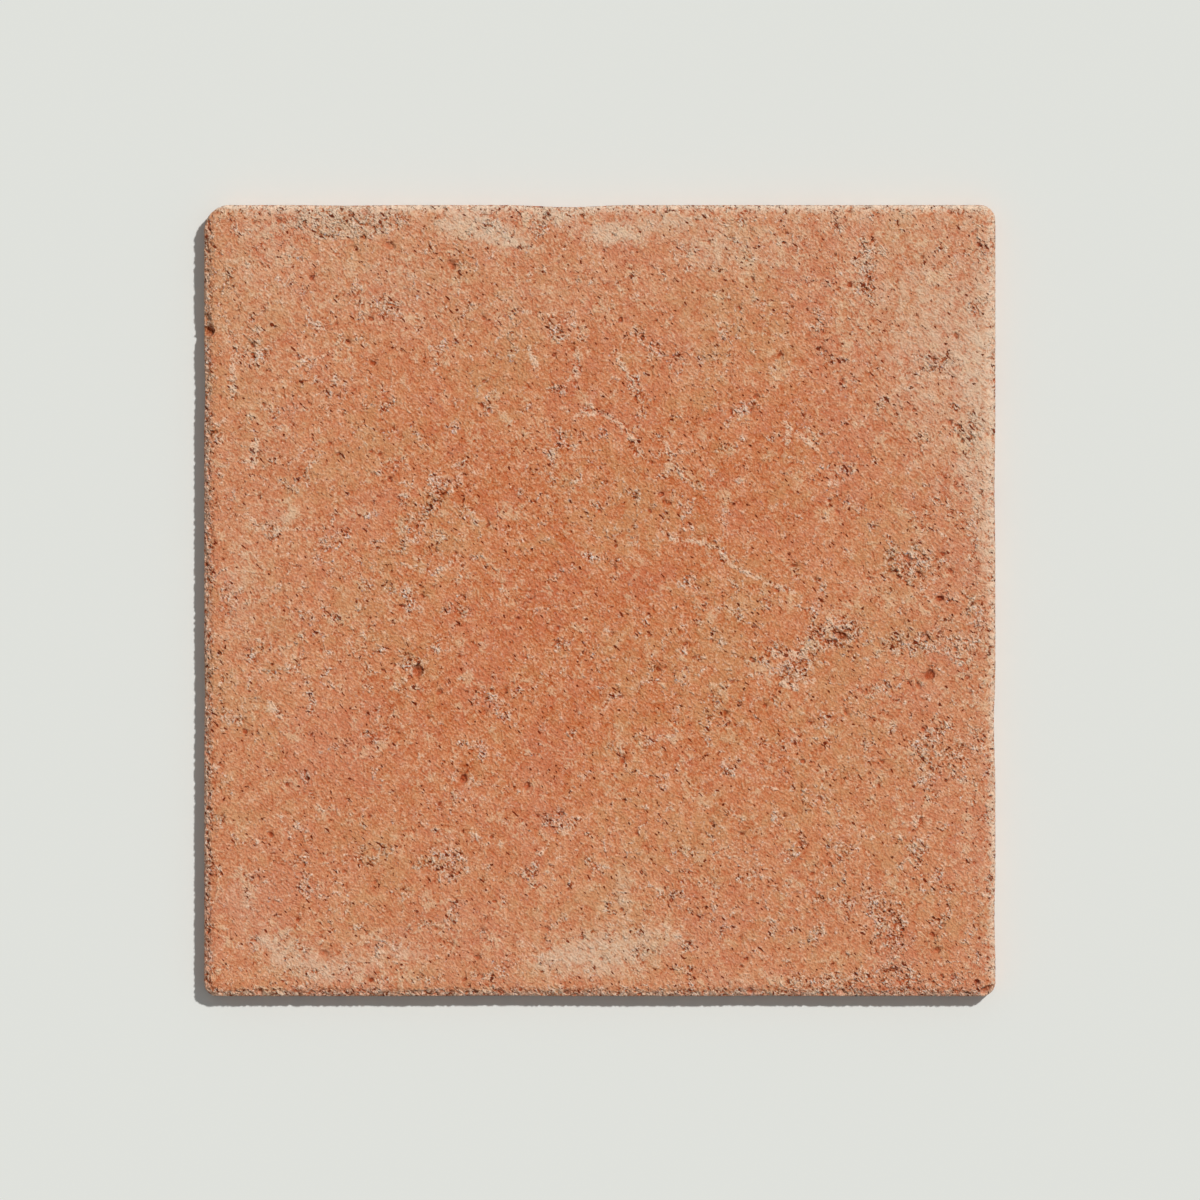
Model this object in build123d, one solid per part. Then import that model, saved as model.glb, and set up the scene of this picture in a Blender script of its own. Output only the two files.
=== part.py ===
from build123d import *
from math import atan2, degrees
import os

# A square floor tile cast in composite stone and tumbled after it was cut.
# Millimetres. The origin is the middle of the back, +Z is up through the worn face,
# +X and +Y run along two sides.

# The slab
SIDE = 400.0
THICKNESS = 15.0

# Corners of the outline, rounded by tumbling, anticlockwise from the one at +X +Y
CORNER_RADII = {
    "right_top": 8.0,
    "left_top": 13.0,
    "left_bottom": 6.6,
    "right_bottom": 7.0,
}

# The worn arris round the face: a sloping band, eased into the face and into the sides
ARRIS_WIDTH = 3.6
ARRIS_DROP = 2.4
FACE_EASING = 4.5
SIDE_EASING = 1.5

# The arris round the back, which is worn less
BACK_EASING = 1.6

# Long shallow hollows that tumbling left in the sides.
# Each has its middle, as a share of the side from its first corner, its length and its depth.
SIDE_HOLLOWS = {
    "right": [(0.10, 46.0, 0.5), (0.34, 58.0, 0.8), (0.64, 70.0, 0.4)],
    "top": [(0.54, 62.0, 1.1), (0.82, 54.0, 0.3)],
    "left": [(0.23, 40.0, 0.35), (0.62, 60.0, 0.25)],
    "bottom": [(0.38, 64.0, 0.3), (0.71, 48.0, 0.25)],
}

# Larger pits in the face and its arris, where a grain or a bubble of the cast mix came away.
# Each has its place, as shares of half the side from the middle, its length and width at
# the face's level, its depth below that level and the turn of its length from +X.
FACE_PITS = [
    (-0.374, 0.848, 6.2, 3.6, 1.5, -52.0),
    (-0.618, 0.889, 3.4, 2.8, 1.1, -60.0),
    (-0.530, 0.896, 6.4, 3.4, 1.0, -25.0),
    (-0.490, 0.784, 4.2, 1.6, 0.8, 12.0),
    (0.488, 0.088, 5.8, 1.7, 0.9, 10.0),
    (0.776, 0.106, 4.6, 3.2, 1.2, -40.0),
    (0.806, 0.066, 5.2, 3.0, 1.1, -30.0),
    (0.610, -0.089, 7.2, 3.8, 1.6, -20.0),
    (0.857, 0.005, 5.4, 2.6, 1.0, 12.0),
    (0.820, -0.092, 5.0, 3.4, 1.1, 30.0),
    (0.833, -0.188, 5.8, 5.2, 1.7, 70.0),
    (0.804, -0.215, 4.6, 2.4, 1.0, -55.0),
    (0.622, -0.283, 4.0, 2.0, 1.0, -50.0),
    (-0.460, -0.178, 6.6, 5.6, 1.7, 65.0),
    (-0.405, -0.231, 4.2, 2.8, 1.1, 40.0),
    (-0.291, -0.282, 4.6, 2.0, 0.9, 35.0),
    (-0.344, -0.450, 5.0, 4.0, 1.4, 70.0),
    (-0.184, -0.468, 4.4, 3.0, 1.2, 80.0),
    (0.057, -0.402, 4.2, 3.2, 1.2, 85.0),
    (0.853, -0.882, 4.4, 3.4, 1.3, 20.0),
    (-0.308, -0.901, 3.2, 2.8, 1.1, 0.0),
    (-0.696, -0.892, 6.4, 4.0, 0.8, -15.0),
    (0.974, -0.984, 7.0, 3.0, 3.4, 42.0),
    (0.952, -0.963, 3.0, 2.6, 1.8, -50.0),
]

# Chips knocked out of the worn arris.
# Each has its side, its middle as a share of the side, its length, its reach in from the
# side and its depth below the face.
ARRIS_CHIPS = [
    ("left", 0.145, 8.0, 3.2, 4.0),
    ("left", 0.159, 7.0, 5.4, 4.8),
    ("left", 0.085, 3.4, 3.4, 2.6),
    ("left", 0.455, 6.0, 2.6, 2.6),
    ("top", 0.797, 6.4, 5.4, 2.4),
    ("top", 0.697, 5.0, 3.6, 2.2),
    ("top", 0.418, 4.6, 4.0, 2.4),
    ("right", 0.570, 6.0, 3.0, 2.6),
    ("right", 0.342, 5.0, 2.8, 2.6),
    ("bottom", 0.071, 3.2, 4.4, 2.8),
    ("bottom", 0.275, 14.0, 3.4, 2.4),
    ("bottom", 0.690, 4.6, 5.0, 2.6),
    ("bottom", 0.805, 4.4, 4.2, 2.4),
]

# Edges count as level when their ends differ by less than this
LEVEL_TOLERANCE = 0.01

HALF = SIDE / 2

# The sides in order, anticlockwise seen from above, each from its first corner to its last
SIDES = {
    "right": ((1, -1), (1, 1), "right_bottom", "right_top"),
    "top": ((1, 1), (-1, 1), "right_top", "left_top"),
    "left": ((-1, 1), (-1, -1), "left_top", "left_bottom"),
    "bottom": ((-1, -1), (1, -1), "left_bottom", "right_bottom"),
}


def side_frame(side):
    """Start, end, direction and inward normal of one side of the square."""
    first, last, _, _ = SIDES[side]
    start = Vector(first[0], first[1]) * HALF
    end = Vector(last[0], last[1]) * HALF
    along = (end - start).normalized()
    return start, end, along, Vector(-along.Y, along.X)


def side_edges(side):
    """Lines and shallow hollows from the end of one rounded corner to the start of the next."""
    start, end, along, inward = side_frame(side)
    _, _, first_corner, last_corner = SIDES[side]
    at = start + along * CORNER_RADII[first_corner]
    edges = []
    for middle, length, depth in SIDE_HOLLOWS[side]:
        centre = start + along * (middle * SIDE)
        into = centre - along * (length / 2)
        out = centre + along * (length / 2)
        edges.append(Line(at, into))
        edges.append(Spline(into, centre + inward * depth, out, tangents=(along, along)))
        at = out
    edges.append(Line(at, end - along * CORNER_RADII[last_corner]))
    return edges


def corner_edge(side):
    """The rounded corner at the end of one side."""
    _, end, along, inward = side_frame(side)
    radius = CORNER_RADII[SIDES[side][3]]
    return RadiusArc(end - along * radius, end + inward * radius, -radius)


def outline():
    """The tile's plan outline as one face."""
    edges = []
    for side in SIDES:
        edges += side_edges(side)
        edges.append(corner_edge(side))
    return make_face(Wire(edges))


def level_edges(solid, height):
    """The edges that lie level at one height."""
    return solid.edges().filter_by(
        lambda edge: abs(edge.bounding_box().min.Z - height) < LEVEL_TOLERANCE
        and abs(edge.bounding_box().max.Z - height) < LEVEL_TOLERANCE
    )


def worn_slab():
    """The slab with its worn arris round the face and the slighter one round the back."""
    slab = extrude(outline(), THICKNESS)
    face = slab.faces().sort_by(Axis.Z)[-1]
    slab = chamfer(face.edges(), ARRIS_WIDTH, ARRIS_DROP, reference=face)
    slab = fillet(level_edges(slab, THICKNESS), FACE_EASING)
    slab = fillet(level_edges(slab, THICKNESS - ARRIS_DROP), SIDE_EASING)
    slab = fillet(level_edges(slab, 0), BACK_EASING)
    return slab


def bowl(length, width, depth):
    """An ellipsoid about the origin: its lower half is the hollow, its upper half is in the air."""
    return scale(Sphere(1), by=(length / 2, width / 2, depth))


def face_pits():
    """The larger pits of the face, in place."""
    pits = []
    for across, up, length, width, depth, turn in FACE_PITS:
        place = Pos(across * HALF, up * HALF, THICKNESS) * Rot(0, 0, turn)
        pits.append(place * bowl(length, width, depth))
    return pits


def arris_chips():
    """The chips in the worn arris, in place, each centred on the outline's side."""
    chips = []
    for side, middle, length, reach, depth in ARRIS_CHIPS:
        start, _, along, _ = side_frame(side)
        centre = start + along * (middle * SIDE)
        turn = degrees(atan2(along.Y, along.X))
        place = Pos(centre.X, centre.Y, THICKNESS) * Rot(0, 0, turn)
        chips.append(place * bowl(length, reach * 2, depth))
    return chips


def tile():
    """The whole tile, one solid."""
    return worn_slab() - face_pits() - arris_chips()


def main():
    os.makedirs("parts", exist_ok=True)
    solid = tile()
    export_step(solid, "parts/tile.step")
    print("tile volume, cm3:", round(solid.volume / 1000, 1))


main()
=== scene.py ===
import math

import bpy
import numpy as np
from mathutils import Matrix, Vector
from mathutils.bvhtree import BVHTree


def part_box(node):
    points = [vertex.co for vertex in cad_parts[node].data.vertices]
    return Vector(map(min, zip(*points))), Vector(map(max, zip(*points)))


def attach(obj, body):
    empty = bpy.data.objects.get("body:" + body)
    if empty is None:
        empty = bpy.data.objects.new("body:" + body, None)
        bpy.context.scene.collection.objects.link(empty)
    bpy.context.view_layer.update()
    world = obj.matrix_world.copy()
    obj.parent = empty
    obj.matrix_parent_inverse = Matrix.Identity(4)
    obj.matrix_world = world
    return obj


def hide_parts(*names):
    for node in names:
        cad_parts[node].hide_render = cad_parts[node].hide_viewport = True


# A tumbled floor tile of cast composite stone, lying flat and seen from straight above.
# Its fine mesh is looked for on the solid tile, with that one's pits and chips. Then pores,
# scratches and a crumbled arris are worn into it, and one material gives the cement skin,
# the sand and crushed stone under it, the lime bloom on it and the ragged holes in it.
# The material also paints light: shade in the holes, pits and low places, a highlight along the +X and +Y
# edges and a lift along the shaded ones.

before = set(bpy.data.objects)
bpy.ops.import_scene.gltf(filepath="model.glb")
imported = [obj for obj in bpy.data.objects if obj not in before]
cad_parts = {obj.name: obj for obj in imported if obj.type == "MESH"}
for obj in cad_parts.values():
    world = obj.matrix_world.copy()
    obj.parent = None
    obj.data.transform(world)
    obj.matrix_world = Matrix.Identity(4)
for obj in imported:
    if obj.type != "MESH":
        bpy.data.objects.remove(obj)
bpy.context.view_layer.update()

MM = 0.001
slab_low, slab_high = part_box("tile")
HALF = (slab_high.x - slab_low.x) / 2
HALF_MM = HALF / MM
TOP = slab_high.z

# The tile's mesh.
# Cells along one side of the face, and how often they are halved on the way to the back
FACE_CELLS = 640
HALVINGS = 2
# A rounded square inside the slab, from which the surface is looked for outwards
CORE_INSET = 6.5 * MM
CORE_RADIUS = 4.0 * MM
# Cells round half a corner, and steps from the face round the edge to the back
CORNER_CELLS = 12
ROUND_THE_EDGE = 38
# Between the halvings the back has a ring this far out from the core
BACK_RING_OUT = 0.35 * MM
# Where the side is chipped, the plain side is the median of this many cells along it
CELLS_FOR_PLAIN_SIDE = 31
# How many triangles are left after thinning
TRIANGLES = 194000
# Every so many cells a vertex of the face is kept, closer together on a scratch
KEPT_CELLS = 4
KEPT_ON_SCRATCH = 2

# The wear, in metres as the relief takes it.
# The worn face keeps this far under the slab's box, so that grains can stand on it
FACE_WEAR = 0.06 * MM
PORES_PER_SQUARE_METRE = 24000.0
SMALLEST_PORE = 0.7 * MM
LARGEST_PORE = 2.0 * MM
PORE_DEPTH_SHARE = 0.6
HOLE_DEPTH = 0.5 * MM
ARRIS_CRUMBLING = 0.75 * MM

# Sizes and places from here on are in mm.
SCRATCH_DEPTH = 0.08
# What lies this far below the face's level no longer belongs to the face
FACE_AND_ARRIS_HEIGHT = 3.4
# The worn arris reaches this far in, and fades over the second length
ARRIS_REACH, ARRIS_FADE = 6.5, 4.0
# The sides crumble less below this height, over the second length
CRUMBLED_ABOVE, CRUMBLED_FADE = 9.0, 3.0

# The outer part of the face is a little paler: where that starts, and where it is full
OUTER_PART_STARTS, OUTER_PART_FULL = 150.0, 20.0

# Pale lime bloom on the face: place, length, width, turn and strength
LIME_BLOOM = [
    (-64.0, 188.8, 44, 18, -8, 0.9), (-46.0, 181.6, 32, 9, -10, 0.9), (-24.0, 194.4, 40, 10, 0, 0.8),
    (8.0, 185.6, 38, 15, 0, 0.85), (36.0, 191.0, 30, 12, 0, 0.6), (56.0, 178.0, 44, 24, 0, 0.35),
    (194.0, 100.0, 160, 22, 90, 0.55), (186.0, 68.0, 36, 16, 90, 0.45), (184.0, 116.0, 44, 20, 90, 0.3),
    (196.0, 28.0, 70, 12, 90, 0.35), (-160.8, 40.0, 28, 18, 30, 0.45), (-172.0, 76.0, 18, 14, 0, 0.35),
    (-176.0, 8.0, 44, 24, 90, 0.2), (2.0, -178.0, 54, 30, 0, 0.72), (-24.0, -182.0, 28, 20, 0, 0.6),
    (12.0, -148.0, 34, 14, 90, 0.45), (28.0, -172.0, 44, 26, 0, 0.45),
    (-158.0, -178.0, 46, 28, -30, 0.62), (-180.0, -148.0, 44, 28, 90, 0.4),
    (-132.0, -186.0, 44, 18, 0, 0.6), (-104.0, -176.0, 44, 22, 0, 0.35),
    (-184.0, 0.0, 100, 22, 90, 0.2), (-176.0, 176.0, 54, 32, 45, 0.25), (76.0, 176.0, 64, 32, 0, 0.3),
    (160.0, 148.0, 64, 44, 0, 0.2), (44.0, 124.0, 44, 15, 100, 0.2), (144.0, 92.0, 64, 32, 20, 0.15),
    (-40.0, 144.0, 64, 32, 0, 0.2), (76.0, -192.0, 64, 11, 0, 0.3), (152.0, -184.0, 54, 15, 0, 0.15),
    (-171.0, -172.0, 12, 9, 0, 0.5), (36.0, 68.0, 7, 5, 0, 0.9), (96.0, -43.0, 6, 3, 0, 0.9),
    (-130.0, 192.0, 80, 18, 0, 0.55), (-150.0, 160.0, 120, 84, 0, 0.25), (-90.0, 150.0, 60, 60, 0, 0.2),
    (0.0, 176.0, 420, 70, 0, 0.22), (178.0, 60.0, 300, 66, 90, 0.22), (-60.0, -182.0, 260, 54, 0, 0.2),
    (-176.0, 60.0, 260, 60, 90, 0.15), (156.0, 150.0, 120, 120, 0, 0.38),
    (176.0, 104.0, 120, 60, 90, 0.30),
]

# Shallow pale scratches: width, strength and the points they run through
PALE_SCRATCHES = [
    (2.2, 0.9, [(-184, 128), (-186, 114), (-184.8, 102)]),
    (2.6, 0.9, [(-174, 80), (-175.2, 68)]),
    (1.4, 0.5, [(-182, 70), (-160, 72), (-142, 70)]),
    (1.8, 0.6, [(-134, 58), (-132.8, 46), (-136.8, 36), (-156, 36), (-172, 36), (-176, 42)]),
    (2.0, 0.6, [(-100, 18), (-84, 14), (-72, 20)]),
    (2.0, 0.75, [(-12, 94), (0, 95.2), (10, 90), (18, 80), (24, 70)]),
    (2.4, 0.6, [(8, 126), (14, 114), (19.2, 104), (22, 94)]),
    (2.0, 0.7, [(32, 82), (36, 72), (42, 62)]),
    (1.9, 0.75, [(30, 36), (36, 31), (48, 30), (60, 26), (66, 18), (80, 11.2), (98, 4)]),
    (1.8, 0.7, [(94, 90), (96, 82), (94, 78)]),
    (1.8, 0.7, [(94, 88), (104, 82), (110, 76)]),
    (1.5, 0.5, [(76, 136), (92, 134), (98, 124)]),
    (1.6, 0.45, [(132, 120), (156, 114), (184, 112.8)]),
    (3.0, 0.7, [(66, -4), (72, -10)]),
    (2.0, 0.5, [(108, -16), (104, -28), (116, -32)]),
    (3.2, 0.85, [(88, -26.8), (102, -26.8)]),
    (2.0, 0.6, [(112, -18), (120, -8)]),
    (2.6, 1.0, [(92, -42), (99, -44)]),
    (2.4, 0.8, [(104, -42), (108, -40)]),
    (2.0, 0.6, [(-24, -120), (-36, -136)]),
    (1.8, 0.6, [(-12, -112), (-18, -118)]),
    (1.8, 0.6, [(-162, -108), (-154, -124)]),
    (3.0, 0.8, [(-166, -52), (-162, -58)]),
    (2.0, 0.55, [(-40, 146), (-20, 144), (-10, 134), (-12, 120)]),
    (3.0, 0.8, [(-12, 119), (-11.6, 115)]),
    (2.2, 0.8, [(-36, 128), (-32, 118)]),
    (2.0, 0.6, [(-156, 124), (-144, 122), (-134, 126)]),
    (3.0, 0.9, [(10, -75), (10.4, -78)]),
    (1.4, 0.4, [(80, -94), (98, -96)]),
    (3.0, 0.8, [(160, -109), (160.4, -112)]),
    (1.4, 0.4, [(40, -116), (36, -130)]),
]

# Smaller pits that show in the face: place, length, width, depth and turn
SMALL_PITS = [
    (-76.0, 74.0, 3.4, 2.2, 0.9, -30), (-124.0, 24.8, 2.6, 2.0, 0.8, -40),
    (-72.8, 24.0, 2.8, 2.0, 0.8, -45), (-102.0, -67.2, 3.4, 2.2, 0.9, -40),
    (-68.8, -88.8, 3.6, 2.0, 0.9, -50), (-80.0, -106.0, 2.4, 1.8, 0.8, -20),
    (0.0, 45.2, 3.0, 2.0, 0.9, -30), (120.0, 44.8, 3.6, 2.2, 1.0, -35), (98.0, 18.0, 3.6, 1.5, 0.7, 10),
    (111.2, -100.0, 4.6, 2.4, 1.0, -55), (146.0, -167.2, 4.8, 2.6, 0.8, 20),
    (176.0, -155.2, 2.6, 2.4, 1.1, 0), (0.8, -180.8, 2.8, 2.2, 0.9, 0),
    (-60.0, -166.0, 3.0, 2.0, 0.8, -30), (172.0, 1.2, 3.6, 2.4, 0.9, -30),
]

# Where tumbling tore the skin of the face into a crust: place, length, width, turn and strength
TORN_CRUST = [
    (-127, 192, 84, 24, 0, 1.0), (-30, 195, 60, 12, 0, 0.6), (66, 194, 60, 16, 0, 0.6),
    (133, 166, 64, 18, 90, 0.7), (-109, 148, 32, 26, 0, 0.7), (-18, 140, 36, 18, 0, 0.6),
    (30, 128, 28, 18, 0, 0.5), (-179, 127, 26, 18, 60, 0.7), (-88, 43, 134, 13, 54, 0.6),
    (167, 121, 28, 22, 0, 0.8), (186, 86, 34, 22, 90, 0.8), (158, 18, 36, 28, 0, 1.0),
    (118, -18, 42, 22, 0, 1.0), (164, -21, 56, 17, 0, 0.9), (97, -33, 26, 20, 0, 0.8),
    (-94, -33, 20, 16, 0, 0.9), (-55, -48, 26, 18, -30, 0.7), (172, -78, 44, 46, 0, 0.7),
    (109, -100, 18, 16, 0, 0.8), (-79, -133, 32, 26, 0, 1.0), (-121, -127, 26, 20, 0, 0.6),
    (-152, -142, 42, 18, -40, 0.5), (145, -164, 58, 24, -70, 1.0), (109, -160, 60, 13, 90, 0.7),
    (48, -146, 92, 8, 5, 0.5), (140, -192, 130, 16, 0, 0.9), (-60, -192, 100, 10, 0, 0.5),
    (-192, -60, 110, 12, 90, 0.5), (190, -20, 150, 16, 90, 0.5), (-20, 60, 46, 34, 0, 0.35),
    (60, 70, 50, 34, 20, 0.3),
]


# The tile's mesh

def smooth(t):
    """From 0 to 1 with soft ends."""
    t = np.clip(t, 0.0, 1.0)
    return t * t * (3.0 - 2.0 * t)


def core_ring():
    """A rounded square inside the slab, anticlockwise from the middle of its -X -Y corner,
    as points and outward directions, with FACE_CELLS steps to each side."""
    reach = HALF - CORE_INSET
    middle = reach - CORE_RADIUS
    straight = FACE_CELLS - 2 * CORNER_CELLS
    points, outward = [], []
    for side in range(4):
        turn = side * math.pi / 2
        for step in range(FACE_CELLS):
            if step < CORNER_CELLS:
                angle = math.radians(-135) + (step / CORNER_CELLS) * math.radians(45)
                x = -middle + CORE_RADIUS * math.cos(angle)
                y = -middle + CORE_RADIUS * math.sin(angle)
            elif step < CORNER_CELLS + straight:
                angle = math.radians(-90)
                x = -middle + 2 * middle * (step - CORNER_CELLS) / straight
                y = -reach
            else:
                share = (step - CORNER_CELLS - straight) / CORNER_CELLS
                angle = math.radians(-90) + share * math.radians(45)
                x = middle + CORE_RADIUS * math.cos(angle)
                y = -middle + CORE_RADIUS * math.sin(angle)
            c, s = math.cos(turn), math.sin(turn)
            points.append((x * c - y * s, x * s + y * c))
            outward.append((math.cos(angle + turn), math.sin(angle + turn)))
    return np.array(points), np.array(outward)


def filled_square(ring, cells):
    """Points of a grid whose rim is the ring: rows along Y of places along X."""
    share = np.linspace(0.0, 1.0, cells + 1)
    low = ring[0:cells + 1]
    right = ring[cells:2 * cells + 1]
    top = ring[2 * cells:3 * cells + 1][::-1]
    left = np.vstack([ring[3 * cells:4 * cells], ring[0:1]])[::-1]
    u = share[None, :, None]
    v = share[:, None, None]
    edges = (1 - v) * low[None] + v * top[None] + (1 - u) * left[:, None] + u * right[:, None]
    corners = ((1 - u) * (1 - v) * low[0] + u * (1 - v) * low[-1]
               + (1 - u) * v * top[0] + u * v * top[-1])
    return edges - corners


def rim_indices(first, cells):
    """Vertex numbers round the rim of a square grid, in the ring's order."""
    wide = cells + 1
    low = [first + i for i in range(cells)]
    right = [first + j * wide + cells for j in range(cells)]
    top = [first + cells * wide + i for i in range(cells, 0, -1)]
    left = [first + j * wide for j in range(cells, 0, -1)]
    return np.array(low + right + top + left)


def grid_faces(first, cells, upwards):
    """Quads of a square grid of vertices."""
    wide = cells + 1
    i, j = np.meshgrid(np.arange(cells), np.arange(cells))
    a = (first + j * wide + i).ravel()
    quads = np.stack([a, a + 1, a + 1 + wide, a + wide], 1)
    return quads if upwards else quads[:, ::-1]


def edge_directions():
    """How the looks out of the core go round the slab's edge, from the face to the back."""
    half_height = TOP / 2
    path = [(0.0, half_height), (CORE_INSET, half_height), (CORE_INSET, -half_height), (0.0, -half_height)]
    lengths = [math.dist(a, b) for a, b in zip(path, path[1:])]
    total = sum(lengths)
    looks = []
    for step in range(1, ROUND_THE_EDGE):
        at = total * step / ROUND_THE_EDGE
        for a, b, length in zip(path, path[1:], lengths):
            if at <= length:
                break
            at -= length
        out = a[0] + (b[0] - a[0]) * at / length
        up = a[1] + (b[1] - a[1]) * at / length
        size = math.hypot(out, up)
        looks.append((out / size, up / size))
    return looks


def solid_surface():
    """What finds places on the surface of the solid tile."""
    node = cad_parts["tile"]
    return BVHTree.FromPolygons(
        [tuple(v.co) for v in node.data.vertices],
        [tuple(p.vertices) for p in node.data.polygons],
    )


def face_places(surface, ring):
    """Places of the face, looked for straight up from the middle of the slab."""
    flat = filled_square(ring, FACE_CELLS).reshape(-1, 2)
    places = np.empty((len(flat), 3))
    places[:, :2] = flat
    for k, (x, y) in enumerate(flat):
        hit = surface.ray_cast(Vector((x, y, TOP / 2)), Vector((0, 0, 1)))[0]
        places[k, 2] = hit.z if hit else TOP
    return places


def edge_places(surface, ring, outward, out, rise):
    """One ring of places round the slab's edge, and how far each is bitten in under the plain side."""
    places = np.empty((len(ring), 3))
    reach = np.empty(len(ring))
    for k, (q, n) in enumerate(zip(ring, outward)):
        start = Vector((q[0], q[1], TOP / 2))
        hit, _, _, distance = surface.ray_cast(start, Vector((n[0] * out, n[1] * out, rise)))
        places[k] = hit
        reach[k] = distance
    half = CELLS_FOR_PLAIN_SIDE // 2
    padded = np.concatenate([reach[-half:], reach, reach[:half]])
    plain = np.median(np.lib.stride_tricks.sliding_window_view(padded, CELLS_FOR_PLAIN_SIDE), axis=1)
    return places, np.maximum(plain - reach, 0.0)


def cut_slab_mesh():
    """A fine closed mesh on the slab's own surface, its pits and chips included.
    Returns places, quads, triangles and how far each place is bitten in under the plain surface."""
    surface = solid_surface()
    ring, outward = core_ring()
    face = face_places(surface, ring)
    places = [face]
    bite = [TOP - face[:, 2]]
    quads = [grid_faces(0, FACE_CELLS, True)]
    rim = rim_indices(0, FACE_CELLS)
    count = len(face)
    for out, rise in edge_directions():
        layer, bitten = edge_places(surface, ring, outward, out, rise)
        places.append(layer)
        bite.append(bitten)
        this = count + np.arange(len(ring))
        quads.append(np.stack([rim, this, np.roll(this, -1), np.roll(rim, -1)], 1))
        rim = this
        count += len(ring)
    triangles = []
    cells = FACE_CELLS
    for halving in range(HALVINGS):
        half_ring = rim[::2]
        cells //= 2
        if halving == HALVINGS - 1:
            back_flat = filled_square(ring[::2 ** HALVINGS], cells).reshape(-1, 2)
            back = np.column_stack([back_flat, np.zeros(len(back_flat))])
            new = rim_indices(count, cells)
            quads.append(grid_faces(count, cells, False))
        else:
            back = np.column_stack([ring[::2] + outward[::2] * BACK_RING_OUT, np.zeros(len(ring[::2]))])
            new = count + np.arange(len(half_ring))
        places.append(back)
        bite.append(np.zeros(len(back)))
        count += len(back)
        odd = rim[1::2]
        ahead = np.roll(half_ring, -1)
        new_ahead = np.roll(new, -1)
        triangles.append(np.stack([half_ring, new, odd], 1))
        triangles.append(np.stack([odd, new, new_ahead], 1))
        triangles.append(np.stack([odd, new_ahead, ahead], 1))
        rim = new
    return np.vstack(places), np.vstack(quads), np.vstack(triangles), np.concatenate(bite)


# What is known of the face from place to place, x and y in mm

def from_middle(x, y, oval_x, oval_y, length, width, turn):
    """How far out in a turned oval each place is: 0 in its middle, 1 on its rim."""
    c, s = math.cos(math.radians(turn)), math.sin(math.radians(turn))
    along = ((x - oval_x) * c + (y - oval_y) * s) / (length / 2)
    across = (-(x - oval_x) * s + (y - oval_y) * c) / (width / 2)
    return np.hypot(along, across)


def oval_patches(x, y, listed):
    """How much of the listed soft-edged oval patches lies at each place."""
    total = np.zeros(len(x))
    for px, py, length, width, turn, strength in listed:
        near = smooth(1.25 - 0.95 * from_middle(x, y, px, py, length, width, turn))
        total = 1 - (1 - total) * (1 - strength * near)
    return total


def bloom_and_rim_light_field(x, y):
    """How much lime bloom lies at each place, and a painted highlight along the two sides towards the light,
    +X and +Y: a faint pale band, 22 mm wide, and a stronger one, 6 mm wide, counted in with the bloom."""
    total = oval_patches(x, y, LIME_BLOOM)
    # painted highlight: pale bands along the +X and +Y sides, which face the light
    for inset in (HALF_MM - x, HALF_MM - y):
        band = 0.30 * smooth((22 - inset) / 20) + 0.50 * smooth((6 - inset) / 5.5)
        total = 1 - (1 - total) * (1 - band)
    return total


def painted_rim_light_field(x, y):
    """How much painted light lies on the outermost few millimetres of each side of the face: a painted
    highlight on the +X and +Y sides, which face the light, strongest on +Y, and a painted lift of the shaded
    -X and -Y sides.
    """
    # inset, width and strength of the painted light on each side: +X, +Y, -X, -Y
    rim_light_by_side = [
        (HALF_MM - x, 1.6, 0.35),
        (HALF_MM - y, 2.4, 0.75),
        (HALF_MM + x, 3.0, 0.28),
        (HALF_MM + y, 3.0, 0.30),
    ]
    total = np.zeros(len(x))
    for inset, width, strength in rim_light_by_side:
        total = np.maximum(total, strength * smooth((width - inset) / 1.3))
    return total


def scratch_field(x, y):
    """How much of a pale scratch lies at each place."""
    total = np.zeros(len(x))
    for width, strength, points in PALE_SCRATCHES:
        for (ax, ay), (bx, by) in zip(points, points[1:]):
            dx, dy = bx - ax, by - ay
            t = np.clip(((x - ax) * dx + (y - ay) * dy) / (dx * dx + dy * dy), 0, 1)
            off = np.hypot(x - ax - t * dx, y - ay - t * dy)
            total = np.maximum(total, strength * smooth(1.4 - off / (0.8 * width)))
    return total


def small_pit_depth(x, y):
    """Depth of the smaller pits at each place of the face, in mm."""
    total = np.zeros(len(x))
    for px, py, length, width, depth, turn in SMALL_PITS:
        out = from_middle(x, y, px, py, length, width, turn)
        total = np.maximum(total, depth * smooth(1.6 * (1 - out)))
    return total


def store(mesh, name, values):
    """Keeps one number for each vertex, for the relief and the material to read."""
    mark = mesh.attributes.new(name, "FLOAT", "POINT")
    mark.data.foreach_set("value", np.asarray(values, np.float32))


def mesh_of(name, places, quads, triangles):
    """A mesh from places, quads and triangles."""
    mesh = bpy.data.meshes.new(name)
    mesh.vertices.add(len(places))
    mesh.vertices.foreach_set("co", places.astype(np.float32).ravel())
    loops = np.concatenate([quads.ravel(), triangles.ravel()])
    starts = np.concatenate([np.arange(len(quads)) * 4, len(quads) * 4 + np.arange(len(triangles)) * 3])
    mesh.loops.add(len(loops))
    mesh.loops.foreach_set("vertex_index", loops.astype(np.int32))
    mesh.polygons.add(len(starts))
    mesh.polygons.foreach_set("loop_start", starts.astype(np.int32))
    mesh.update(calc_edges=True)
    mesh.validate()
    return mesh


def thinned_vertices(count, scratch):
    """The vertices that thinning may take: all but a coarse grid of the face, closer on scratches."""
    wide = FACE_CELLS + 1
    row, column = np.divmod(np.arange(wide * wide), wide)
    kept = (row % KEPT_CELLS == 0) & (column % KEPT_CELLS == 0)
    on_scratch = scratch[:wide * wide] > 0.05
    kept |= (row % KEPT_ON_SCRATCH == 0) & (column % KEPT_ON_SCRATCH == 0) & on_scratch
    free = np.ones(count, bool)
    free[:wide * wide] = ~kept
    return np.flatnonzero(free)


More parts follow.
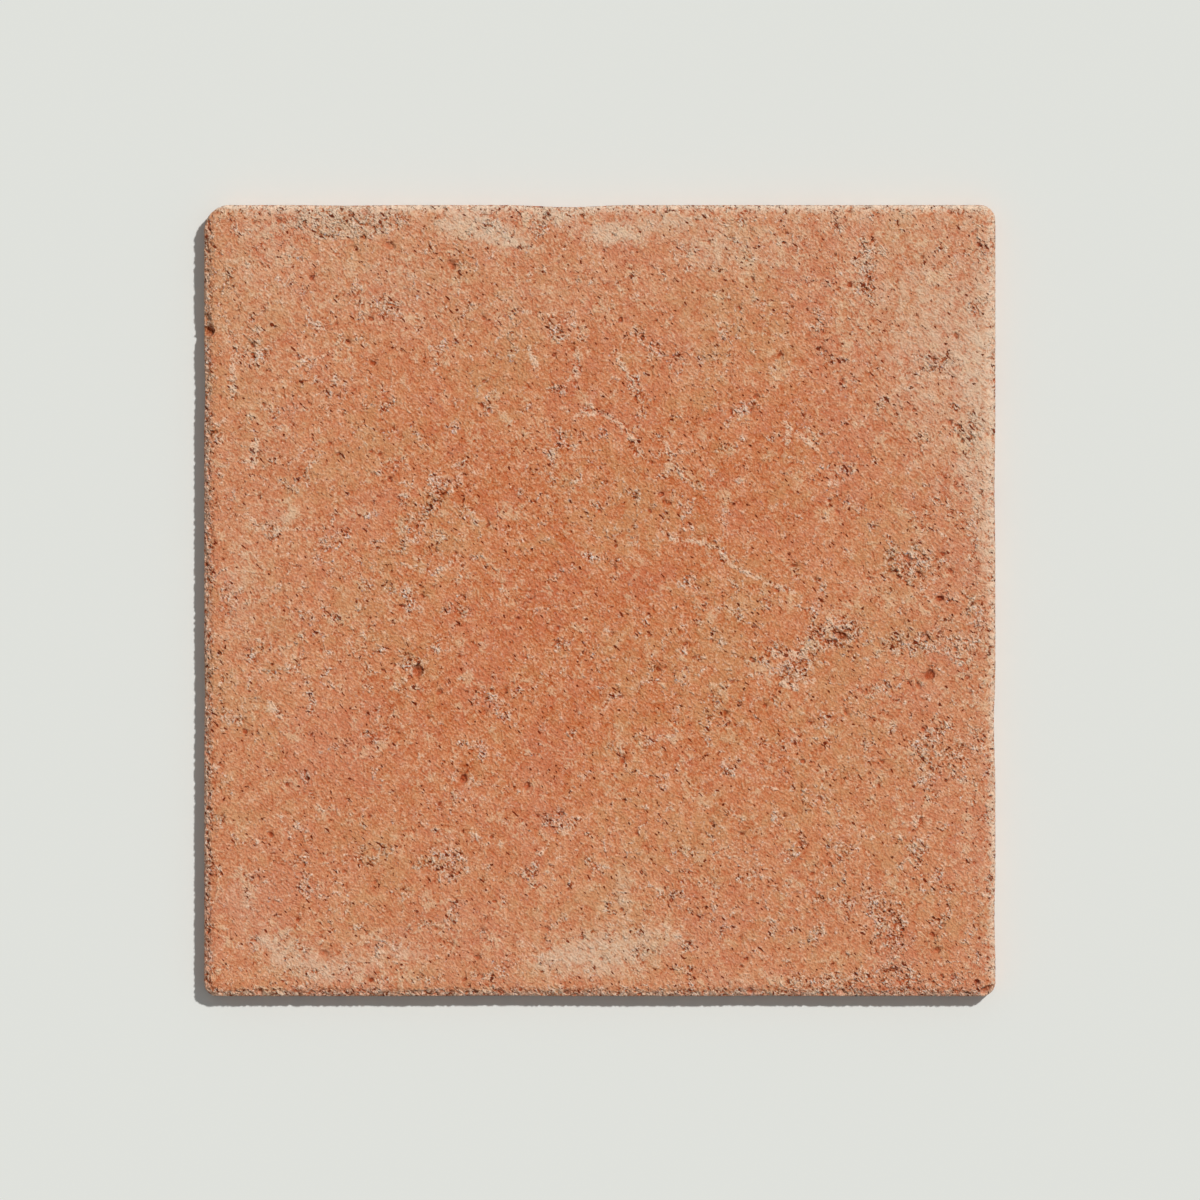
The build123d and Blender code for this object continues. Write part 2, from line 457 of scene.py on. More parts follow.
def slab_mesh():
    """The fine mesh with what is known of its surface, and the vertices that thinning may take."""
    places, quads, triangles, bite = cut_slab_mesh()
    x, y = places[:, 0] / MM, places[:, 1] / MM
    on_face = places[:, 2] > TOP - FACE_AND_ARRIS_HEIGHT * MM
    pits = small_pit_depth(x, y) * on_face
    scratch = scratch_field(x, y) * on_face
    places[:, 2] -= (pits + SCRATCH_DEPTH * scratch) * MM
    mesh = mesh_of("worn_tile", places, quads, triangles)
    inset = HALF_MM - np.maximum(np.abs(x), np.abs(y))
    arris = smooth((ARRIS_REACH - inset) / ARRIS_FADE)
    upper = smooth((places[:, 2] / MM - CRUMBLED_ABOVE) / CRUMBLED_FADE)
    store(mesh, "bite", bite / MM + pits)
    # Of these marks, the bloom also holds a painted highlight along the +X and +Y sides, and the field for
    # the outermost edges is painted light only
    store(mesh, "bloom_and_rim_light", bloom_and_rim_light_field(x, y) * on_face)
    store(mesh, "scratch", scratch)
    store(mesh, "painted_rim_light", painted_rim_light_field(x, y) * on_face)
    store(mesh, "torn_crust", oval_patches(x, y, TORN_CRUST) * on_face)
    store(mesh, "outer_part", smooth((OUTER_PART_STARTS - inset) / (OUTER_PART_STARTS - OUTER_PART_FULL)))
    store(mesh, "arris", arris)
    store(mesh, "crumbled", arris * (0.3 + 0.7 * upper))
    return mesh, thinned_vertices(len(places), scratch)


# Helpers for node trees

def add(tree, kind, inputs=None, **settings):
    """One node with its settings. inputs maps a socket to a value or to another node's output."""
    node = tree.nodes.new(kind)
    for name, value in settings.items():
        setattr(node, name, value)
    for key, value in (inputs or {}).items():
        if isinstance(value, bpy.types.NodeSocket):
            tree.links.new(value, node.inputs[key])
        else:
            node.inputs[key].default_value = value
    return node


def calculate(tree, operation, a, b=0.0):
    return add(tree, "ShaderNodeMath", {0: a, 1: b}, operation=operation).outputs[0]


def plus(tree, a, b):
    return calculate(tree, "ADD", a, b)


def less(tree, a, b):
    return calculate(tree, "SUBTRACT", a, b)


def times(tree, a, b):
    return calculate(tree, "MULTIPLY", a, b)


def larger(tree, a, b):
    return calculate(tree, "MAXIMUM", a, b)


def on_vector(tree, operation, a, b=None, scale=None, output=0):
    """One step of vector arithmetic."""
    inputs = {0: a}
    if b is not None:
        inputs[1] = b
    if scale is not None:
        inputs["Scale"] = scale
    return add(tree, "ShaderNodeVectorMath", inputs, operation=operation).outputs[output]


def weighted(tree, terms):
    """Sum of each field, less its middle, times its weight."""
    total = None
    for field, weight in terms:
        part = times(tree, less(tree, field, 0.5), weight)
        total = part if total is None else plus(tree, total, part)
    return total


def remap(tree, value, low, high, to_low=0.0, to_high=1.0, soft=True):
    """The value's range low to high as to_low to to_high, held at both ends."""
    kind = "SMOOTHSTEP" if soft else "LINEAR"
    inputs = {"Value": value, "From Min": low, "From Max": high, "To Min": to_low, "To Max": to_high}
    return add(tree, "ShaderNodeMapRange", inputs, interpolation_type=kind, clamp=True).outputs["Result"]


def noise(tree, place, size, detail=2.0, roughness=0.5, colour=False):
    """Noise whose lumps are about size millimetres; place is in millimetres."""
    inputs = {"Vector": place, "Scale": 1.0 / size, "Detail": detail, "Roughness": roughness}
    return add(tree, "ShaderNodeTexNoise", inputs).outputs["Color" if colour else "Fac"]


def in_millimetres(tree, metres):
    return on_vector(tree, "SCALE", metres, scale=1.0 / MM)


def drawn_out(tree, place, share):
    """The place, squeezed along one diagonal of the tile, so that what is made there comes out
    longer that way: the mix was drawn across its mould."""
    turned = add(tree, "ShaderNodeVectorRotate", {"Vector": place, "Angle": math.radians(45)},
                 rotation_type="Z_AXIS").outputs[0]
    return on_vector(tree, "MULTIPLY", turned, (share, 1.0, 1.0))


# Where the stone is worn, for both its relief and its looks

def erosion(tree, place):
    """Where the skin of the cast face is worn through: patches and a thin network of lines."""
    bare_patches = remap(tree, noise(tree, place, 13.0, 4.0, 0.6), 0.54, 0.68)
    lines = noise(tree, place, 17.0, 3.0, 0.5)
    off_line = calculate(tree, "ABSOLUTE", less(tree, lines, 0.5))
    network = remap(tree, off_line, 0.030, 0.004)
    where = remap(tree, noise(tree, place, 55.0, 1.0), 0.42, 0.56, 0.0, 0.65)
    return larger(tree, bare_patches, times(tree, network, where))


def crusted(tree, place, listed):
    """Where the face is a torn crust: the listed patches, and some more by chance."""
    chance = noise(tree, place, 16.0, 3.0, 0.6)
    return remap(tree, plus(tree, listed, weighted(tree, [(chance, 2.2)])), 0.20, 0.90)


def torn_holes(tree, place, crowd):
    """Ragged hollows 1 to 3 mm wide with steep sides; crowd says how many there are."""
    gate = remap(tree, crowd, 0.0, 1.0, 0.30, 0.40, soft=False)
    over = less(tree, noise(tree, place, 2.8, 2.0, 0.5), gate)
    return remap(tree, over, 0.0, -0.12, soft=False)


# The relief

def relief_mark(tree, name):
    """One of the marks stored on the mesh, in geometry nodes."""
    node = add(tree, "GeometryNodeInputNamedAttribute", {"Name": name}, data_type="FLOAT")
    return node.outputs["Attribute"]


def by_chance(tree, low, high, seed):
    node = add(tree, "FunctionNodeRandomValue", {2: low, 3: high, "Seed": seed}, data_type="FLOAT")
    return node.outputs[1]


def pore_depth(tree, given, place, mm, crowd):
    """Depth of the pores scattered over the stone, more of them where crowd is high."""
    share = remap(tree, crowd, 0.0, 1.0, 0.12, 1.0, soft=False)
    density = times(tree, share, given["Pores per square metre"])
    spots = add(tree, "GeometryNodeDistributePointsOnFaces",
                {"Mesh": given["Geometry"], "Density": density, "Seed": given["Seed"]},
                distribute_method="RANDOM").outputs["Points"]
    # pores aren't round: the place is shaken before the nearest one is looked for, and each
    # is longer one way than the other
    shake = on_vector(tree, "SUBTRACT", noise(tree, mm, 1.8, 1.0, colour=True), (0.5, 0.5, 0.5))
    shaken = on_vector(tree, "ADD", place, on_vector(tree, "SCALE", shake, scale=2.4 * MM))
    nearest = add(tree, "GeometryNodeSampleNearest", {"Geometry": spots, "Sample Position": shaken},
                  domain="POINT").outputs["Index"]

    def of_its_pore(value, kind):
        return add(tree, "GeometryNodeSampleIndex", {"Geometry": spots, "Value": value, "Index": nearest},
                   data_type=kind, domain="POINT").outputs["Value"]

    # most pores are small
    size = calculate(tree, "POWER", by_chance(tree, 0.0, 1.0, 0), 2.2)
    size = add(tree, "ShaderNodeMapRange", {"Value": size, "To Min": given["Smallest pore"],
                                            "To Max": given["Largest pore"]}).outputs["Result"]
    radius = of_its_pore(size, "FLOAT")
    turn = of_its_pore(by_chance(tree, 0.0, math.pi, 1), "FLOAT")
    slimness = of_its_pore(by_chance(tree, 1.0, 2.4, 2), "FLOAT")
    off = on_vector(tree, "SUBTRACT", shaken, of_its_pore(place, "FLOAT_VECTOR"))
    off = add(tree, "ShaderNodeVectorRotate", {"Vector": off, "Angle": turn},
              rotation_type="Z_AXIS").outputs[0]
    narrow = add(tree, "ShaderNodeCombineXYZ", {"X": 1.0, "Y": slimness, "Z": 1.0}).outputs[0]
    off = on_vector(tree, "LENGTH", on_vector(tree, "MULTIPLY", off, narrow), output="Value")
    hollow = remap(tree, calculate(tree, "DIVIDE", off, radius), 1.0, 0.5)
    return times(tree, times(tree, radius, given["Pore depth share"]), hollow)


def relief_tree(stone):
    """Geometry nodes: pores, ragged holes and a crumbled arris, all worn inwards."""
    tree = bpy.data.node_groups.new("tumbled_relief", "GeometryNodeTree")
    sockets = {}
    tree.interface.new_socket(name="Geometry", in_out="INPUT", socket_type="NodeSocketGeometry")
    for name in ("Pores per square metre", "Smallest pore", "Largest pore", "Pore depth share",
                 "Hole depth", "Arris crumbling", "Face wear"):
        sockets[name] = tree.interface.new_socket(name=name, in_out="INPUT", socket_type="NodeSocketFloat")
    sockets["Seed"] = tree.interface.new_socket(name="Seed", in_out="INPUT", socket_type="NodeSocketInt")
    tree.interface.new_socket(name="Geometry", in_out="OUTPUT", socket_type="NodeSocketGeometry")
    given = tree.nodes.new("NodeGroupInput").outputs
    place = add(tree, "GeometryNodeInputPosition").outputs[0]
    mm = in_millimetres(tree, place)
    worn = erosion(tree, mm)
    arris = relief_mark(tree, "crumbled")
    crust = crusted(tree, mm, relief_mark(tree, "torn_crust"))
    crowd = larger(tree, larger(tree, worn, times(tree, arris, 0.9)), crust)
    pores = pore_depth(tree, given, place, mm, crowd)
    holes = torn_holes(tree, mm, larger(tree, crust, times(tree, worn, 0.6)))
    depth = larger(tree, pores, times(tree, holes, given["Hole depth"]))
    crumbs = remap(tree, noise(tree, mm, 2.0, 2.0, 0.6), 0.40, 0.62)
    torn = larger(tree, arris, remap(tree, relief_mark(tree, "bite"), 0.2, 0.8))
    crumbling = times(tree, times(tree, crumbs, torn), given["Arris crumbling"])
    wear = plus(tree, given["Face wear"], plus(tree, depth, crumbling))
    normal = add(tree, "GeometryNodeInputNormal").outputs[0]
    inwards = on_vector(tree, "SCALE", normal, scale=times(tree, wear, -1.0))
    # the pores' depth is kept before the places move
    depth_mm = calculate(tree, "DIVIDE", depth, MM)
    marked = add(tree, "GeometryNodeStoreNamedAttribute",
                 {"Geometry": given["Geometry"], "Name": "pore", "Value": depth_mm},
                 data_type="FLOAT", domain="POINT").outputs["Geometry"]
    moved = add(tree, "GeometryNodeSetPosition", {"Geometry": marked, "Offset": inwards}).outputs["Geometry"]
    real = add(tree, "GeometryNodeRealizeInstances", {"Geometry": moved}).outputs["Geometry"]
    painted = add(tree, "GeometryNodeSetMaterial", {"Geometry": real, "Material": stone}).outputs["Geometry"]
    add(tree, "NodeGroupOutput", {"Geometry": painted})
    return tree, sockets


def hold_in_box(mesh, low, high):
    """Thinning may round a place out by a hundredth of a millimetre; this puts it back."""
    places = np.empty(len(mesh.vertices) * 3)
    mesh.vertices.foreach_get("co", places)
    places = np.clip(places.reshape(-1, 3), low, high)
    mesh.vertices.foreach_set("co", places.ravel())
    mesh.update()


def worn_tile(stone):
    """The tile as one closed mesh."""
    mesh, free = slab_mesh()
    unworn = bpy.data.objects.new("slab_before_wear", mesh)
    unworn.vertex_groups.new(name="free").add(free.tolist(), 1.0, "REPLACE")
    bpy.context.scene.collection.objects.link(unworn)
    tree, sockets = relief_tree(stone)
    relief = unworn.modifiers.new("tumbled_relief", "NODES")
    relief.node_group = tree
    values = {
        "Pores per square metre": PORES_PER_SQUARE_METRE,
        "Smallest pore": SMALLEST_PORE,
        "Largest pore": LARGEST_PORE,
        "Pore depth share": PORE_DEPTH_SHARE,
        "Hole depth": HOLE_DEPTH,
        "Arris crumbling": ARRIS_CRUMBLING,
        "Face wear": FACE_WEAR,
        "Seed": 7,
    }
    for name, value in values.items():
        relief[sockets[name].identifier] = value
    thinning = unworn.modifiers.new("fewer_triangles", "DECIMATE")
    thinning.ratio = TRIANGLES / (2.0 * len(mesh.polygons))
    thinning.vertex_group = "free"
    bpy.context.view_layer.update()
    finished = bpy.data.meshes.new_from_object(unworn.evaluated_get(bpy.context.evaluated_depsgraph_get()))
    bpy.data.objects.remove(unworn)
    finished.name = "worn_tile"
    hold_in_box(finished, slab_low, slab_high)
    finished.shade_smooth()
    tile = bpy.data.objects.new("worn_tile", finished)
    bpy.context.scene.collection.objects.link(tile)
    return tile


# The looks of the stone.
# Its colours, as sRGB. The cement skin is red-brown where it is thin and creamy where it is thick
CEMENT_SKIN = [(0.0, "8A2C04"), (0.25, "C46230"), (0.5, "D88B5F"), (0.75, "F4B891"), (1.0, "FFEAD8")]
BARE_STONE = [(0.0, "8A2C06"), (0.25, "C86C36"), (0.5, "EBAB82"), (0.75, "FFDAC2"), (1.0, "FFF4EC")]
OTHER_GRAINS = [(0.0, "FFDCBE"), (0.6, "FFE6D0"), (0.78, "F2D2CC"), (0.88, "B4A6B0"), (1.0, "7E6458")]
# Red-brown clay in the pits and holes, its dark end painted shade
PIT_CLAY_AND_PAINTED_SHADE = [(0.1, "4A0E00"), (0.5, "8A300C"), (0.9, "C46434")]
OCHRE_CLOUD = "D29C6A"
SALMON_CLOUD = "D47C5C"
LIME_FILM_AND_RIM_LIGHT = "EAC8A7"
THICK_LIME_AND_RIM_LIGHT = "E8D4BE"
LIME_SPOT = "EBC6A0"
# Pale dust in the arris, and the painted highlight and lift along the edges
DUST_AND_PAINTED_RIM_LIGHT = "FFE4CC"
SCRATCHED = "FAD2B2"
BROKEN_GRAIN = "FFDCC0"
# Dark red-brown in the pinholes, partly their own colour and partly painted shade
SMALL_HOLE_CLAY_AND_PAINTED_SHADE = "762200"
# Multiplied into the low places of the bump as painted shade
PAINTED_SHADE_IN_LOW_PLACES = "E89C64"

# Sound skin against bare stone: contrast of the speckle, and relief of the sand and of the
# lumps it lies in, in mm
SKIN_SPECKLE, BARE_SPECKLE = 0.56, 1.60
SKIN_SAND, BARE_SAND = 0.95, 2.15
SKIN_LUMPS, BARE_LUMPS = 0.95, 3.4
# Depths of the ragged holes, of the small ones and of the pits' floors in the bump, in mm
LARGE_HOLE_DEPTH, SMALL_HOLE_DEPTH, PIT_FLOOR_DEPTH = 1.2, 1.0, 0.7
# How far the inside of each, red-brown and darkened with painted shade, hides the colour of the face
LARGE_HOLE_TINT, SMALL_HOLE_TINT, PIT_TINT = 0.35, 0.8, 0.62


def linear(code):
    """An sRGB hex colour as linear light."""
    parts = [int(code[i:i + 2], 16) / 255 for i in (0, 2, 4)]
    return [p / 12.92 if p <= 0.04045 else ((p + 0.055) / 1.055) ** 2.4 for p in parts] + [1.0]


def laid_over(tree, share, under, over, kind="MIX"):
    """The colour under, with the share of the colour over it: a hex colour or a node's output."""
    node = add(tree, "ShaderNodeMix", data_type="RGBA", blend_type=kind)
    tree.links.new(share, node.inputs[0])
    tree.links.new(under, node.inputs[6])
    if isinstance(over, str):
        node.inputs[7].default_value = linear(over)
    else:
        tree.links.new(over, node.inputs[7])
    return node.outputs[2]


def stone_mark(tree, name):
    """One of the marks stored on the mesh, in a material."""
    return add(tree, "ShaderNodeAttribute", attribute_name=name).outputs["Fac"]


def ramp(tree, value, stops):
    """A run of colours along a value."""
    node = add(tree, "ShaderNodeValToRGB", {"Fac": value})
    while len(node.color_ramp.elements) < len(stops):
        node.color_ramp.elements.new(0.5)
    for element, (at, code) in zip(node.color_ramp.elements, stops):
        element.position = at
        element.color = linear(code)
    return node.outputs["Color"]


class Mix:
    """The cast mix at each place: its sand, the lumps that the sand lies in and its single
    grains. The real sand goes down to 0.2 mm; it is drawn at about 1 mm, the finest that
    the picture can show."""

    def __init__(self, tree):
        self.mm = in_millimetres(tree, add(tree, "ShaderNodeTexCoord").outputs["Object"])
        self.drawn = drawn_out(tree, self.mm, 0.80)
        self.grit = noise(tree, self.drawn, 1.15, 1.0, 0.6)
        self.lumps = noise(tree, self.drawn, 2.8, 3.0, 0.62)
        cells = add(tree, "ShaderNodeTexVoronoi", {"Vector": self.mm, "Scale": 1.0}, feature="F1").outputs
        self.from_grain = cells["Distance"]
        chances = add(tree, "ShaderNodeSeparateColor", {"Color": cells["Color"]}).outputs
        self.grain_shade, self.grain_kind, self.grain_rarity = chances[0], chances[1], chances[2]
        self.coarse = plus(tree, self.grit, self.lumps)


def roughness(tree, mix, arris, bloom_and_rim_light, scratch, crust):
    """From sound skin, 0, through skin worn through to torn crust, 1. It sets how coarse the
    stone looks from place to place, so that smooth and rough spots lie side by side."""
    rough = times(tree, arris, remap(tree, bloom_and_rim_light, 0.3, 0.9, 0.65, 0.40))
    rough = larger(tree, times(tree, erosion(tree, mix.mm), 0.75), rough)
    rough = larger(tree, rough, times(tree, scratch, 0.7))
    rough = larger(tree, rough, times(tree, crust, 0.70))
    rough = plus(tree, rough, weighted(tree, [(noise(tree, mix.mm, 4.5, 3.0, 0.6), 2.4)]))
    return remap(tree, rough, 0.05, 0.95)


def skin_and_bare_stone(tree, mix, rough):
    """Cement skin, terracotta from its iron oxide, speckled by the sand in it. Where it is worn
    through the crushed stone shows, paler and coarser, each grain of its own shade."""
    speckle = remap(tree, rough, 0.0, 1.0, SKIN_SPECKLE, BARE_SPECKLE, soft=False)
    value = times(tree, weighted(tree, [(mix.grit, 1.0), (mix.grain_shade, 0.22)]), speckle)
    value = plus(tree, value, weighted(tree, [
        (mix.lumps, 0.36),
        (noise(tree, mix.mm, 9.0, 2.0, 0.55), 0.34),
        (noise(tree, mix.mm, 34.0, 2.0, 0.5), 0.12),
    ]))
    value = plus(tree, value, 0.468)
    skin = ramp(tree, value, CEMENT_SKIN)
    mixed = plus(tree, plus(tree, value, weighted(tree, [(mix.grain_kind, 0.30)])), 0.08)
    bare = ramp(tree, mixed, BARE_STONE)
    return laid_over(tree, times(tree, rough, 0.7), skin, bare)


def oxide_clouds(tree, mix, colour):
    """The oxide isn't evenly mixed in: ochre and salmon clouds a few millimetres wide, which
    lie thicker in some parts of the face than in others."""
    broad = weighted(tree, [(noise(tree, mix.mm, 45.0, 2.0, 0.5), 1.0)])
    clouds = plus(tree, noise(tree, mix.mm, 8.0, 3.0, 0.6), broad)
    colour = laid_over(tree, remap(tree, clouds, 0.50, 0.74, 0.0, 0.42), colour, OCHRE_CLOUD)
    return laid_over(tree, remap(tree, clouds, 0.50, 0.28, 0.0, 0.42), colour, SALMON_CLOUD)


def lime_bloom(tree, mix, bloom_and_rim_light, outer_part, colour):
    """Lime that came to the surface and dried: a thin cream film, broken by the sand, greyer and closer
    where it is thick, a breath of it towards the edges and small spots all over. Where the field holds the
    painted highlight along the +X and +Y sides, the film paints that highlight too."""
    broken = weighted(tree, [(noise(tree, mix.mm, 7.0, 3.0, 0.6), 1.2), (mix.lumps, 0.9), (mix.grit, 0.6)])
    film = times(tree, remap(tree, plus(tree, bloom_and_rim_light, broken), 0.0, 1.25), remap(tree, bloom_and_rim_light, 0.0, 0.15))
    film = times(tree, film, 0.78)
    thick = plus(tree, times(tree, bloom_and_rim_light, 0.36), remap(tree, bloom_and_rim_light, 0.50, 0.90, 0.0, 0.30))
    worn = weighted(tree, [(noise(tree, mix.mm, 5.0, 3.0, 0.6), 2.2), (mix.lumps, 1.6), (mix.grit, 1.0)])
    thick = times(tree, thick, remap(tree, worn, -0.6, 0.5, 0.15, 1.3))
    film = larger(tree, larger(tree, film, thick), times(tree, outer_part, 0.11))
    # the film and the thick lime also paint the highlight along the lit +X and +Y sides
    colour = laid_over(tree, film, colour, LIME_FILM_AND_RIM_LIGHT)
    colour = laid_over(tree, times(tree, thick, 0.5), colour, THICK_LIME_AND_RIM_LIGHT)
    ragged = weighted(tree, [(mix.lumps, 0.42), (mix.grit, 0.30)])
    spots = plus(tree, noise(tree, mix.drawn, 9.0, 4.0, 0.62), ragged)
    return laid_over(tree, remap(tree, spots, 0.565, 0.72, 0.0, 0.48), colour, LIME_SPOT)


def arris_dust_and_rim_light(tree, mix, arris, bloom_and_rim_light, painted_rim_light, colour):
    """A thin, crumbly pale line round the face: lime and dust rubbed into the worn arris, with painted light
    in it, a highlight along the +X and +Y edges, which face the light, and a lift of the shaded -X and -Y
    edges.
    """
    dust_and_highlight = times(tree, arris, remap(tree, bloom_and_rim_light, 0.45, 0.85))
    dust_and_highlight = times(tree, dust_and_highlight, remap(tree, mix.coarse, 0.80, 1.10, 0.05, 0.32))
    painted_rim_share = times(tree, painted_rim_light, remap(tree, mix.coarse, 0.75, 1.05, 0.45, 1.0))
    return laid_over(tree, larger(tree, dust_and_highlight, painted_rim_share), colour, DUST_AND_PAINTED_RIM_LIGHT)


def pale_scratches(tree, mix, scratch, colour):
    """Scratches bruise the skin to pale dust, which holds in the rough of the sand."""
    streak = plus(tree, scratch, weighted(tree, [(mix.grit, 1.6), (mix.lumps, 2.4)]))
    streak = times(tree, remap(tree, streak, 0.35, 0.95), remap(tree, scratch, 0.0, 0.2))
    return laid_over(tree, times(tree, streak, 0.62), colour, SCRATCHED)


def grains_in_sight(tree, mix, rough, colour):
    """Pale flecks where a grain's broken face stands clean, and grains of other stone, most of
    them white, some violet-grey or brown. Both show mostly where the skin is gone."""
    flecks = remap(tree, noise(tree, mix.mm, 2.0, 2.0, 0.6), 0.56, 0.62)
    flecks = times(tree, flecks, remap(tree, rough, 0.0, 1.0, 0.20, 0.90, soft=False))
    flecks = times(tree, flecks, remap(tree, mix.lumps, 0.46, 0.56))
    colour = laid_over(tree, flecks, colour, BROKEN_GRAIN)
    other = times(tree, remap(tree, mix.grain_rarity, 0.93, 0.95), remap(tree, mix.from_grain, 0.60, 0.35))
    other = times(tree, other, remap(tree, rough, 0.0, 1.0, 0.2, 0.8, soft=False))
    return laid_over(tree, other, colour, ramp(tree, mix.grain_kind, OTHER_GRAINS))


def small_holes(tree, mix, rough):
    """Pinholes under 2 mm, all over, crowded where the skin is gone."""
    gate = remap(tree, rough, 0.0, 1.0, 0.29, 0.37, soft=False)
    over = less(tree, noise(tree, drawn_out(tree, mix.mm, 0.5), 1.7, 1.0, 0.5), gate)
    return remap(tree, over, 0.0, -0.05)


def pit_floors(tree, mix, bite, pore):
    """The floors of the mesh's own pits, chips and pores, ragged at their borders. The bump sinks them, and
    the material paints them red-brown and darker as painted shade.
    """
    torn = plus(tree, remap(tree, bite, 0.0, 1.6, 0.0, 1.0, soft=False),
                weighted(tree, [(mix.lumps, 2.8), (mix.grit, 1.6)]))
    torn = times(tree, remap(tree, torn, 0.20, 1.0, 0.0, 0.8), remap(tree, bite, 0.1, 0.4))
    hollowed = plus(tree, pore, weighted(tree, [(mix.lumps, 1.6), (mix.grit, 1.0)]))
    hollowed = times(tree, remap(tree, hollowed, 0.30, 1.2, 0.0, 0.8), remap(tree, pore, 0.05, 0.3))
    return larger(tree, hollowed, torn)


def composite_stone():
    """Cast composite stone: sand and crushed stone in a cement matrix coloured with iron oxide.
    It is dry and quite matt, with no gloss to speak of."""
    stone = bpy.data.materials.new("composite_stone")
    stone.use_nodes = True
    tree = stone.node_tree
    tree.nodes.clear()
    mix = Mix(tree)
    arris = stone_mark(tree, "arris")
    bloom_and_rim_light = stone_mark(tree, "bloom_and_rim_light")
    scratch = stone_mark(tree, "scratch")
    bite = stone_mark(tree, "bite")
    crust = crusted(tree, mix.mm, stone_mark(tree, "torn_crust"))
    rough = roughness(tree, mix, arris, bloom_and_rim_light, scratch, crust)

    colour = skin_and_bare_stone(tree, mix, rough)
    colour = oxide_clouds(tree, mix, colour)
    colour = lime_bloom(tree, mix, bloom_and_rim_light, stone_mark(tree, "outer_part"), colour)
    colour = arris_dust_and_rim_light(tree, mix, arris, bloom_and_rim_light, stone_mark(tree, "painted_rim_light"), colour)
    colour = pale_scratches(tree, mix, scratch, colour)
    colour = grains_in_sight(tree, mix, rough, colour)

    # lost grains leave ragged holes, red-brown inside where the skin never formed; they and the mesh's pits
    # and pores are also painted darker inside, as painted shade
    large = torn_holes(tree, mix.mm, larger(tree, crust, times(tree, rough, 0.8)))
    small = small_holes(tree, mix, rough)
    floors = pit_floors(tree, mix, bite, stone_mark(tree, "pore"))
    pit_clay_and_shade = larger(tree, times(tree, remap(tree, large, 0.1, 0.6), LARGE_HOLE_TINT),
                    times(tree, floors, PIT_TINT))
    # painted shade: the deeper a bite, the darker the end of the ramp it takes
    shade = plus(tree, weighted(tree, [(mix.grit, 2.2), (mix.lumps, 2.6)]),
                 remap(tree, bite, 0.4, 1.6, 0.62, 0.50))
    colour = laid_over(tree, pit_clay_and_shade, colour, ramp(tree, shade, PIT_CLAY_AND_PAINTED_SHADE))
    # pinholes painted dark red-brown: partly their own colour, partly painted shade
    colour = laid_over(tree, times(tree, small, SMALL_HOLE_TINT), colour, SMALL_HOLE_CLAY_AND_PAINTED_SHADE)

    # relief too fine for the mesh: sand, the lumps it lies in, and the holes
    sand = times(tree, weighted(tree, [(mix.grit, 1.0), (mix.grain_kind, 0.25)]),
                 remap(tree, rough, 0.0, 1.0, SKIN_SAND, BARE_SAND, soft=False))
    lumps = times(tree, less(tree, mix.lumps, 0.5),
                  remap(tree, rough, 0.0, 1.0, SKIN_LUMPS, BARE_LUMPS, soft=False))
    height = plus(tree, sand, lumps)
    height = less(tree, height, times(tree, large, LARGE_HOLE_DEPTH))
    height = less(tree, height, times(tree, small, SMALL_HOLE_DEPTH))
    height = less(tree, height, times(tree, floors, PIT_FLOOR_DEPTH))
    # painted shade and painted bounce light: the low places of the bump are multiplied darker and redder,
    # for light going from grain to grain there
    low = remap(tree, height, 0.0, -0.75, 0.0, 0.75)
    colour = laid_over(tree, low, colour, PAINTED_SHADE_IN_LOW_PLACES, "MULTIPLY")
    bump = add(tree, "ShaderNodeBump", {"Height": height, "Distance": MM, "Strength": 1.0}).outputs[0]
    shader = add(tree, "ShaderNodeBsdfPrincipled", {
        "Base Color": colour, "Roughness": 0.92, "IOR": 1.5, "Specular IOR Level": 0.08, "Normal": bump})
    add(tree, "ShaderNodeOutputMaterial", {"Surface": shader.outputs[0]})
    return stone


# The studio

FLOOR_REACH = 30.0
# The light stands beyond the +X +Y corner, high enough for a shadow 7 mm wide
LIGHT_ELEVATION = 56.2
CAMERA_HEIGHT = 6.0
# How wide the picture is at the face
FRAME_WIDTH = 606.0 * MM
SENSOR_WIDTH = 36.0


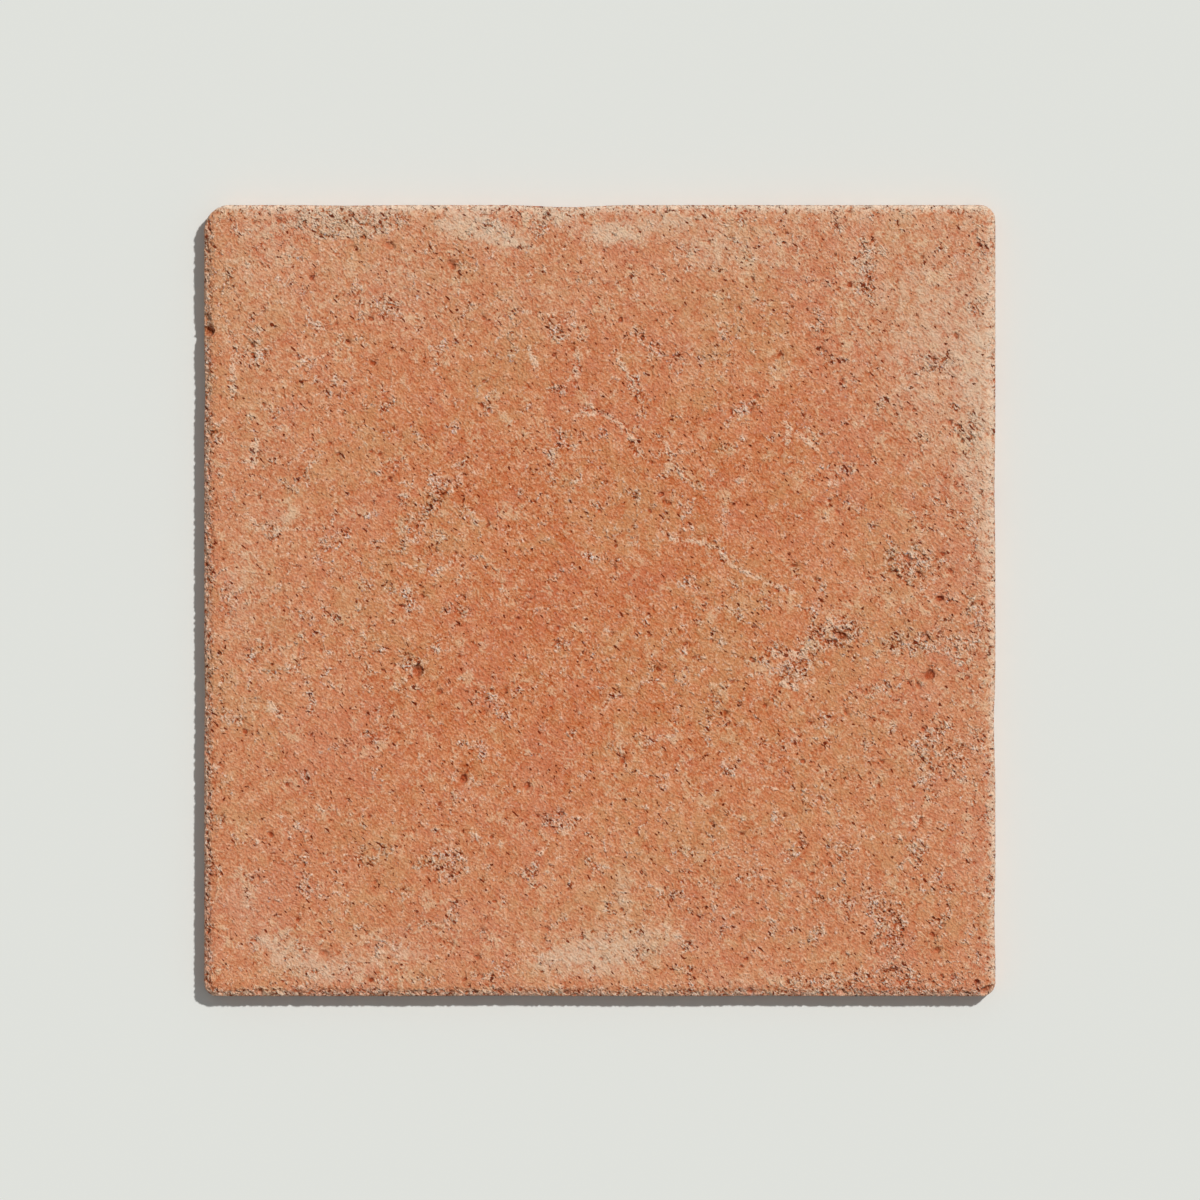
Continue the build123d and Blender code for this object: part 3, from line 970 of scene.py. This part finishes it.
def pale_floor():
    """A plain floor painted matt, pale and slightly green-grey."""
    paint = bpy.data.materials.new("pale_floor")
    paint.use_nodes = True
    shader = paint.node_tree.nodes["Principled BSDF"]
    shader.inputs["Base Color"].default_value = linear("E6E8E4")
    shader.inputs["Roughness"].default_value = 0.9
    shader.inputs["Specular IOR Level"].default_value = 0.0
    r = FLOOR_REACH
    mesh = bpy.data.meshes.new("floor")
    mesh.from_pydata([(-r, -r, 0), (r, -r, 0), (r, r, 0), (-r, r, 0)], [], [(0, 1, 2, 3)])
    mesh.materials.append(paint)
    floor = bpy.data.objects.new("floor", mesh)
    bpy.context.scene.collection.objects.link(floor)


def soft_light():
    """Soft light from all round, and a higher light from beyond the +X +Y corner."""
    world = bpy.data.worlds.new("studio")
    bpy.context.scene.world = world
    world.use_nodes = True
    background = world.node_tree.nodes["Background"]
    background.inputs["Color"].default_value = (0.255, 0.260, 0.262, 1.0)
    background.inputs["Strength"].default_value = 1.0

    sun = bpy.data.lights.new("high_light", "SUN")
    sun.energy = 2.58
    sun.angle = math.radians(3.0)
    sun.color = (1.0, 0.99, 0.97)
    lamp = bpy.data.objects.new("high_light", sun)
    elevation = math.radians(LIGHT_ELEVATION)
    level = math.cos(elevation) * math.sqrt(0.5)
    towards = Vector((level, level, math.sin(elevation)))
    lamp.rotation_mode = "QUATERNION"
    lamp.rotation_quaternion = (-towards).to_track_quat("-Z", "Y")
    lamp.location = towards * 2
    bpy.context.scene.collection.objects.link(lamp)


def camera_above():
    """Straight above the tile, and a fraction of a millimetre off its middle, as in the photo."""
    lens = bpy.data.cameras.new("above")
    lens.sensor_width = SENSOR_WIDTH
    lens.lens = SENSOR_WIDTH * CAMERA_HEIGHT / FRAME_WIDTH
    lens.clip_start = 0.1
    lens.clip_end = 100.0
    above = bpy.data.objects.new("above", lens)
    above.location = (0.1 * MM, 0.3 * MM, TOP + CAMERA_HEIGHT)
    bpy.context.scene.collection.objects.link(above)
    bpy.context.scene.camera = above


tile = worn_tile(composite_stone())
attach(tile, "root")
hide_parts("tile")
pale_floor()
soft_light()
camera_above()
bpy.context.scene.view_settings.view_transform = "Standard"

tile.data.calc_loop_triangles()
print("triangles", len(tile.data.loop_triangles))
